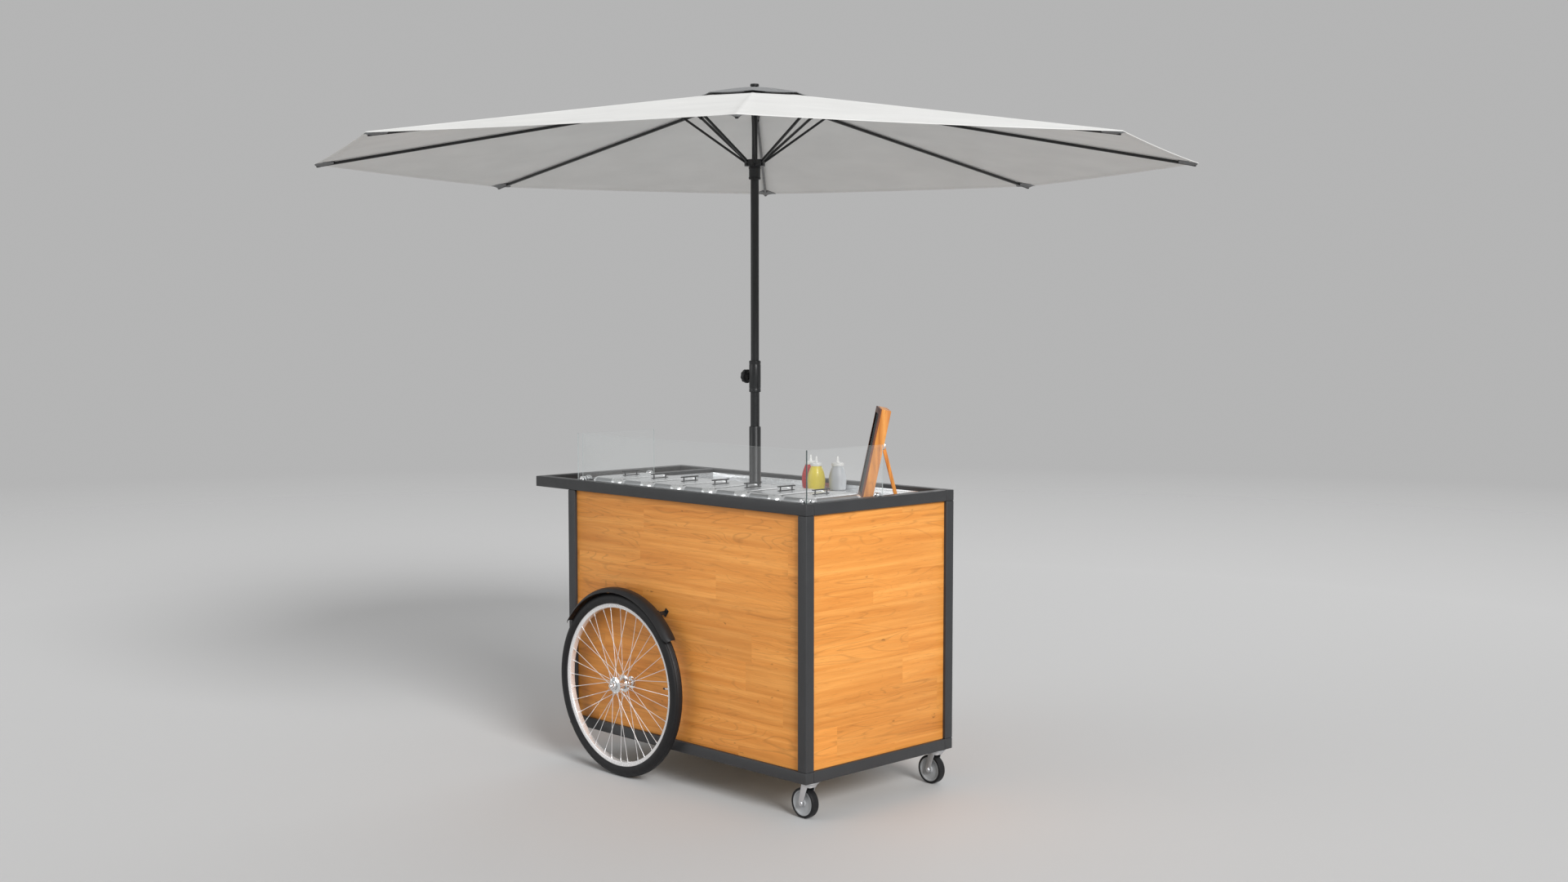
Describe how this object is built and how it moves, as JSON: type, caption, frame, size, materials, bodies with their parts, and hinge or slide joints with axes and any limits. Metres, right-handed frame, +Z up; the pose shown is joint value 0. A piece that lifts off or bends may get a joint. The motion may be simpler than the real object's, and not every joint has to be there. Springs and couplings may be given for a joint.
{
  "type": "push vending cart",
  "caption": "Push food cart: dark tube frame with wood panels, lidded food pans, glass guard, folding octagonal umbrella, spoked wheels and swivel casters.",
  "frame": {"origin": "on the floor, under the middle of the cabinet and on the umbrella pole's axis", "axes": "+Z up; +X towards the caster end and -X towards the push handle; -Y towards the customer and +Y towards the operator"},
  "size_m": [3.09, 3.09, 2.422],
  "materials": {
    "powder_coat": "satin",
    "cladding_wood": "satin",
    "shelf_wood": "matte",
    "stainless": "satin",
    "guard_glass": "gloss",
    "chrome": "gloss",
    "umbrella_paint": "satin",
    "black_plastic": "matte",
    "cap_fabric": "matte",
    "canopy_fabric": "matte",
    "tyre": "matte",
    "zinc": "satin",
    "caster_plastic": "satin",
    "board_wood": "satin",
    "bottle_red": "gloss",
    "bottle_yellow": "gloss",
    "bottle_clear": "gloss"
  },
  "bodies": {
    "cart": {"side_rails": "powder_coat", "cross_rails": "powder_coat", "frame_posts": "powder_coat", "front_panel": "cladding_wood", "end_panels": "cladding_wood", "rear_panel": "cladding_wood", "cabinet_shelves": "shelf_wood", "door_hinges": "chrome", "worktop": "stainless", "food_pans": "stainless", "glass_panels": "guard_glass", "glass_clamps": "chrome", "umbrella_socket": "umbrella_paint", "axle": "chrome", "mudguards": "black_plastic", "caster_plates": "zinc"},
    "door": {"rear_door": "cladding_wood"},
    "lid_1": {"lid_1": "stainless"},
    "lid_2": {"lid_2": "stainless"},
    "lid_3": {"lid_3": "stainless"},
    "lid_4": {"lid_4": "stainless"},
    "lid_5": {"lid_5": "stainless"},
    "lid_6": {"lid_6": "stainless"},
    "lid_7": {"lid_7": "stainless"},
    "mast_lower": {"pole_lower": "umbrella_paint"},
    "clamp_knob": {"collar_knob": "black_plastic"},
    "mast_upper": {"pole_upper": "umbrella_paint", "crown": "umbrella_paint", "vent_cap": "cap_fabric", "canopy": "canopy_fabric"},
    "runner": {"runner": "umbrella_paint"},
    "rib_1": {"rib_1": "umbrella_paint"},
    "rib_2": {"rib_2": "umbrella_paint"},
    "rib_3": {"rib_3": "umbrella_paint"},
    "rib_4": {"rib_4": "umbrella_paint"},
    "rib_5": {"rib_5": "umbrella_paint"},
    "rib_6": {"rib_6": "umbrella_paint"},
    "rib_7": {"rib_7": "umbrella_paint"},
    "rib_8": {"rib_8": "umbrella_paint"},
    "strut_1": {"strut_1": "umbrella_paint"},
    "strut_2": {"strut_2": "umbrella_paint"},
    "strut_3": {"strut_3": "umbrella_paint"},
    "strut_4": {"strut_4": "umbrella_paint"},
    "strut_5": {"strut_5": "umbrella_paint"},
    "strut_6": {"strut_6": "umbrella_paint"},
    "strut_7": {"strut_7": "umbrella_paint"},
    "strut_8": {"strut_8": "umbrella_paint"},
    "big_wheel_front": {"tyre_front": "tyre", "wheel_front": "chrome"},
    "caster_front": {"caster_fork_front": "zinc"},
    "caster_roller_front": {"caster_wheel_front": "caster_plastic"},
    "big_wheel_rear": {"tyre_rear": "tyre", "wheel_rear": "chrome"},
    "caster_rear": {"caster_fork_rear": "zinc"},
    "caster_roller_rear": {"caster_wheel_rear": "caster_plastic"},
    "board": {"menu_board": "board_wood"},
    "board_prop": {"board_leg": "board_wood"},
    "bottle_red": {"bottle_red": "bottle_red"},
    "bottle_yellow": {"bottle_yellow": "bottle_yellow"},
    "bottle_clear": {"bottle_clear": "bottle_clear"}
  },
  "joints": [
    {"name": "big_wheel_front_spin", "type": "hinge", "parent": "cart", "child": "big_wheel_front", "pos_m": [-0.27, -0.3997, 0.324], "axis": [0, 1, 0], "continuous": true},
    {"name": "caster_front_swivel", "type": "hinge", "parent": "cart", "child": "caster_front", "pos_m": [0.583, -0.3095, 0.11], "axis": [0, 0, 1], "continuous": true},
    {"name": "caster_front_roll", "type": "hinge", "parent": "caster_front", "child": "caster_roller_front", "pos_m": [0.563, -0.3095, 0.05], "axis": [0, 1, 0], "continuous": true},
    {"name": "big_wheel_rear_spin", "type": "hinge", "parent": "cart", "child": "big_wheel_rear", "pos_m": [-0.27, 0.3997, 0.324], "axis": [0, 1, 0], "continuous": true},
    {"name": "caster_rear_swivel", "type": "hinge", "parent": "cart", "child": "caster_rear", "pos_m": [0.583, 0.3095, 0.11], "axis": [0, 0, 1], "continuous": true},
    {"name": "caster_rear_roll", "type": "hinge", "parent": "caster_rear", "child": "caster_roller_rear", "pos_m": [0.563, 0.3095, 0.05], "axis": [0, 1, 0], "continuous": true},
    {"name": "door_swing", "type": "hinge", "parent": "cart", "child": "door", "pos_m": [0.5715, 0.352, 0.57], "axis": [0, 0, -1], "range_deg": [0, 110]},
    {"name": "lid_1_lift", "type": "slide", "parent": "cart", "child": "lid_1", "axis": [0, 0, 1], "range_m": [0, 0.12]},
    {"name": "lid_2_lift", "type": "slide", "parent": "cart", "child": "lid_2", "axis": [0, 0, 1], "range_m": [0, 0.12]},
    {"name": "lid_3_lift", "type": "slide", "parent": "cart", "child": "lid_3", "axis": [0, 0, 1], "range_m": [0, 0.12]},
    {"name": "lid_4_lift", "type": "slide", "parent": "cart", "child": "lid_4", "axis": [0, 0, 1], "range_m": [0, 0.12]},
    {"name": "lid_5_lift", "type": "slide", "parent": "cart", "child": "lid_5", "axis": [0, 0, 1], "range_m": [0, 0.12]},
    {"name": "lid_6_lift", "type": "slide", "parent": "cart", "child": "lid_6", "axis": [0, 0, 1], "range_m": [0, 0.12]},
    {"name": "lid_7_lift", "type": "slide", "parent": "cart", "child": "lid_7", "axis": [0, 0, 1], "range_m": [0, 0.12]},
    {"name": "mast_turn", "type": "hinge", "parent": "cart", "child": "mast_lower", "pos_m": [0, 0, 1.1], "axis": [0, 0, 1], "continuous": true},
    {"name": "clamp_knob_turn", "type": "hinge", "parent": "mast_lower", "child": "clamp_knob", "pos_m": [-0.04, 0, 1.404], "axis": [1, 0, 0], "continuous": true},
    {"name": "mast_height", "type": "slide", "parent": "mast_lower", "child": "mast_upper", "axis": [0, 0, 1], "range_m": [0, 0.35]},
    {"name": "runner_slide", "type": "slide", "parent": "mast_upper", "child": "runner", "axis": [0, 0, -1], "range_m": [0, 0.3047], "deforming": ["canopy"]},
    {"name": "rib_1_fold", "type": "hinge", "parent": "mast_upper", "child": "rib_1", "pos_m": [0.028, 0, 2.38581], "axis": [0, 1, 0], "range_deg": [0, 50.94]},
    {"name": "strut_1_fold", "type": "hinge", "parent": "runner", "child": "strut_1", "pos_m": [0.03, 0, 2.15], "axis": [0, -1, 0], "range_deg": [0, 30.64]},
    {"name": "rib_2_fold", "type": "hinge", "parent": "mast_upper", "child": "rib_2", "pos_m": [0.0198, 0.0198, 2.38581], "axis": [-0.7071, 0.7071, 0], "range_deg": [0, 50.94]},
    {"name": "strut_2_fold", "type": "hinge", "parent": "runner", "child": "strut_2", "pos_m": [0.02121, 0.02121, 2.15], "axis": [0.7071, -0.7071, 0], "range_deg": [0, 30.64]},
    {"name": "rib_3_fold", "type": "hinge", "parent": "mast_upper", "child": "rib_3", "pos_m": [0, 0.028, 2.38581], "axis": [-1, 0, 0], "range_deg": [0, 50.94]},
    {"name": "strut_3_fold", "type": "hinge", "parent": "runner", "child": "strut_3", "pos_m": [0, 0.03, 2.15], "axis": [1, 0, 0], "range_deg": [0, 30.64]},
    {"name": "rib_4_fold", "type": "hinge", "parent": "mast_upper", "child": "rib_4", "pos_m": [-0.0198, 0.0198, 2.38581], "axis": [-0.7071, -0.7071, 0], "range_deg": [0, 50.94]},
    {"name": "strut_4_fold", "type": "hinge", "parent": "runner", "child": "strut_4", "pos_m": [-0.02121, 0.02121, 2.15], "axis": [0.7071, 0.7071, 0], "range_deg": [0, 30.64]},
    {"name": "rib_5_fold", "type": "hinge", "parent": "mast_upper", "child": "rib_5", "pos_m": [-0.028, 0, 2.38581], "axis": [0, -1, 0], "range_deg": [0, 50.94]},
    {"name": "strut_5_fold", "type": "hinge", "parent": "runner", "child": "strut_5", "pos_m": [-0.03, 0, 2.15], "axis": [0, 1, 0], "range_deg": [0, 30.64]},
    {"name": "rib_6_fold", "type": "hinge", "parent": "mast_upper", "child": "rib_6", "pos_m": [-0.0198, -0.0198, 2.38581], "axis": [0.7071, -0.7071, 0], "range_deg": [0, 50.94]},
    {"name": "strut_6_fold", "type": "hinge", "parent": "runner", "child": "strut_6", "pos_m": [-0.02121, -0.02121, 2.15], "axis": [-0.7071, 0.7071, 0], "range_deg": [0, 30.64]},
    {"name": "rib_7_fold", "type": "hinge", "parent": "mast_upper", "child": "rib_7", "pos_m": [0, -0.028, 2.38581], "axis": [1, 0, 0], "range_deg": [0, 50.94]},
    {"name": "strut_7_fold", "type": "hinge", "parent": "runner", "child": "strut_7", "pos_m": [0, -0.03, 2.15], "axis": [-1, 0, 0], "range_deg": [0, 30.64]},
    {"name": "rib_8_fold", "type": "hinge", "parent": "mast_upper", "child": "rib_8", "pos_m": [0.0198, -0.0198, 2.38581], "axis": [0.7071, 0.7071, 0], "range_deg": [0, 50.94]},
    {"name": "strut_8_fold", "type": "hinge", "parent": "runner", "child": "strut_8", "pos_m": [0.02121, -0.02121, 2.15], "axis": [-0.7071, -0.7071, 0], "range_deg": [0, 30.64]},
    {"name": "board_lift", "type": "slide", "parent": "cart", "child": "board", "axis": [0, 0, 1], "range_m": [0, 0.15]},
    {"name": "board_leg_fold", "type": "hinge", "parent": "board", "child": "board_prop", "pos_m": [0.50689, 0.11818, 1.17673], "axis": [-0.7169, 0.6972, 0], "range_deg": [0, 26]},
    {"name": "bottle_red_lift", "type": "slide", "parent": "cart", "child": "bottle_red", "axis": [0, 0, 1], "range_m": [0, 0.15]},
    {"name": "bottle_yellow_lift", "type": "slide", "parent": "cart", "child": "bottle_yellow", "axis": [0, 0, 1], "range_m": [0, 0.15]},
    {"name": "bottle_clear_lift", "type": "slide", "parent": "cart", "child": "bottle_clear", "axis": [0, 0, 1], "range_m": [0, 0.15]}
  ],
  "couplings": [
    {"joint": "rib_1_fold", "follows": "runner_slide", "rad_per_m": 2.9062},
    {"joint": "strut_1_fold", "follows": "runner_slide", "rad_per_m": 1.7435},
    {"joint": "rib_2_fold", "follows": "runner_slide", "rad_per_m": 2.9062},
    {"joint": "strut_2_fold", "follows": "runner_slide", "rad_per_m": 1.7435},
    {"joint": "rib_3_fold", "follows": "runner_slide", "rad_per_m": 2.9062},
    {"joint": "strut_3_fold", "follows": "runner_slide", "rad_per_m": 1.7435},
    {"joint": "rib_4_fold", "follows": "runner_slide", "rad_per_m": 2.9062},
    {"joint": "strut_4_fold", "follows": "runner_slide", "rad_per_m": 1.7435},
    {"joint": "rib_5_fold", "follows": "runner_slide", "rad_per_m": 2.9062},
    {"joint": "strut_5_fold", "follows": "runner_slide", "rad_per_m": 1.7435},
    {"joint": "rib_6_fold", "follows": "runner_slide", "rad_per_m": 2.9062},
    {"joint": "strut_6_fold", "follows": "runner_slide", "rad_per_m": 1.7435},
    {"joint": "rib_7_fold", "follows": "runner_slide", "rad_per_m": 2.9062},
    {"joint": "strut_7_fold", "follows": "runner_slide", "rad_per_m": 1.7435},
    {"joint": "rib_8_fold", "follows": "runner_slide", "rad_per_m": 2.9062},
    {"joint": "strut_8_fold", "follows": "runner_slide", "rad_per_m": 1.7435}
  ]
}
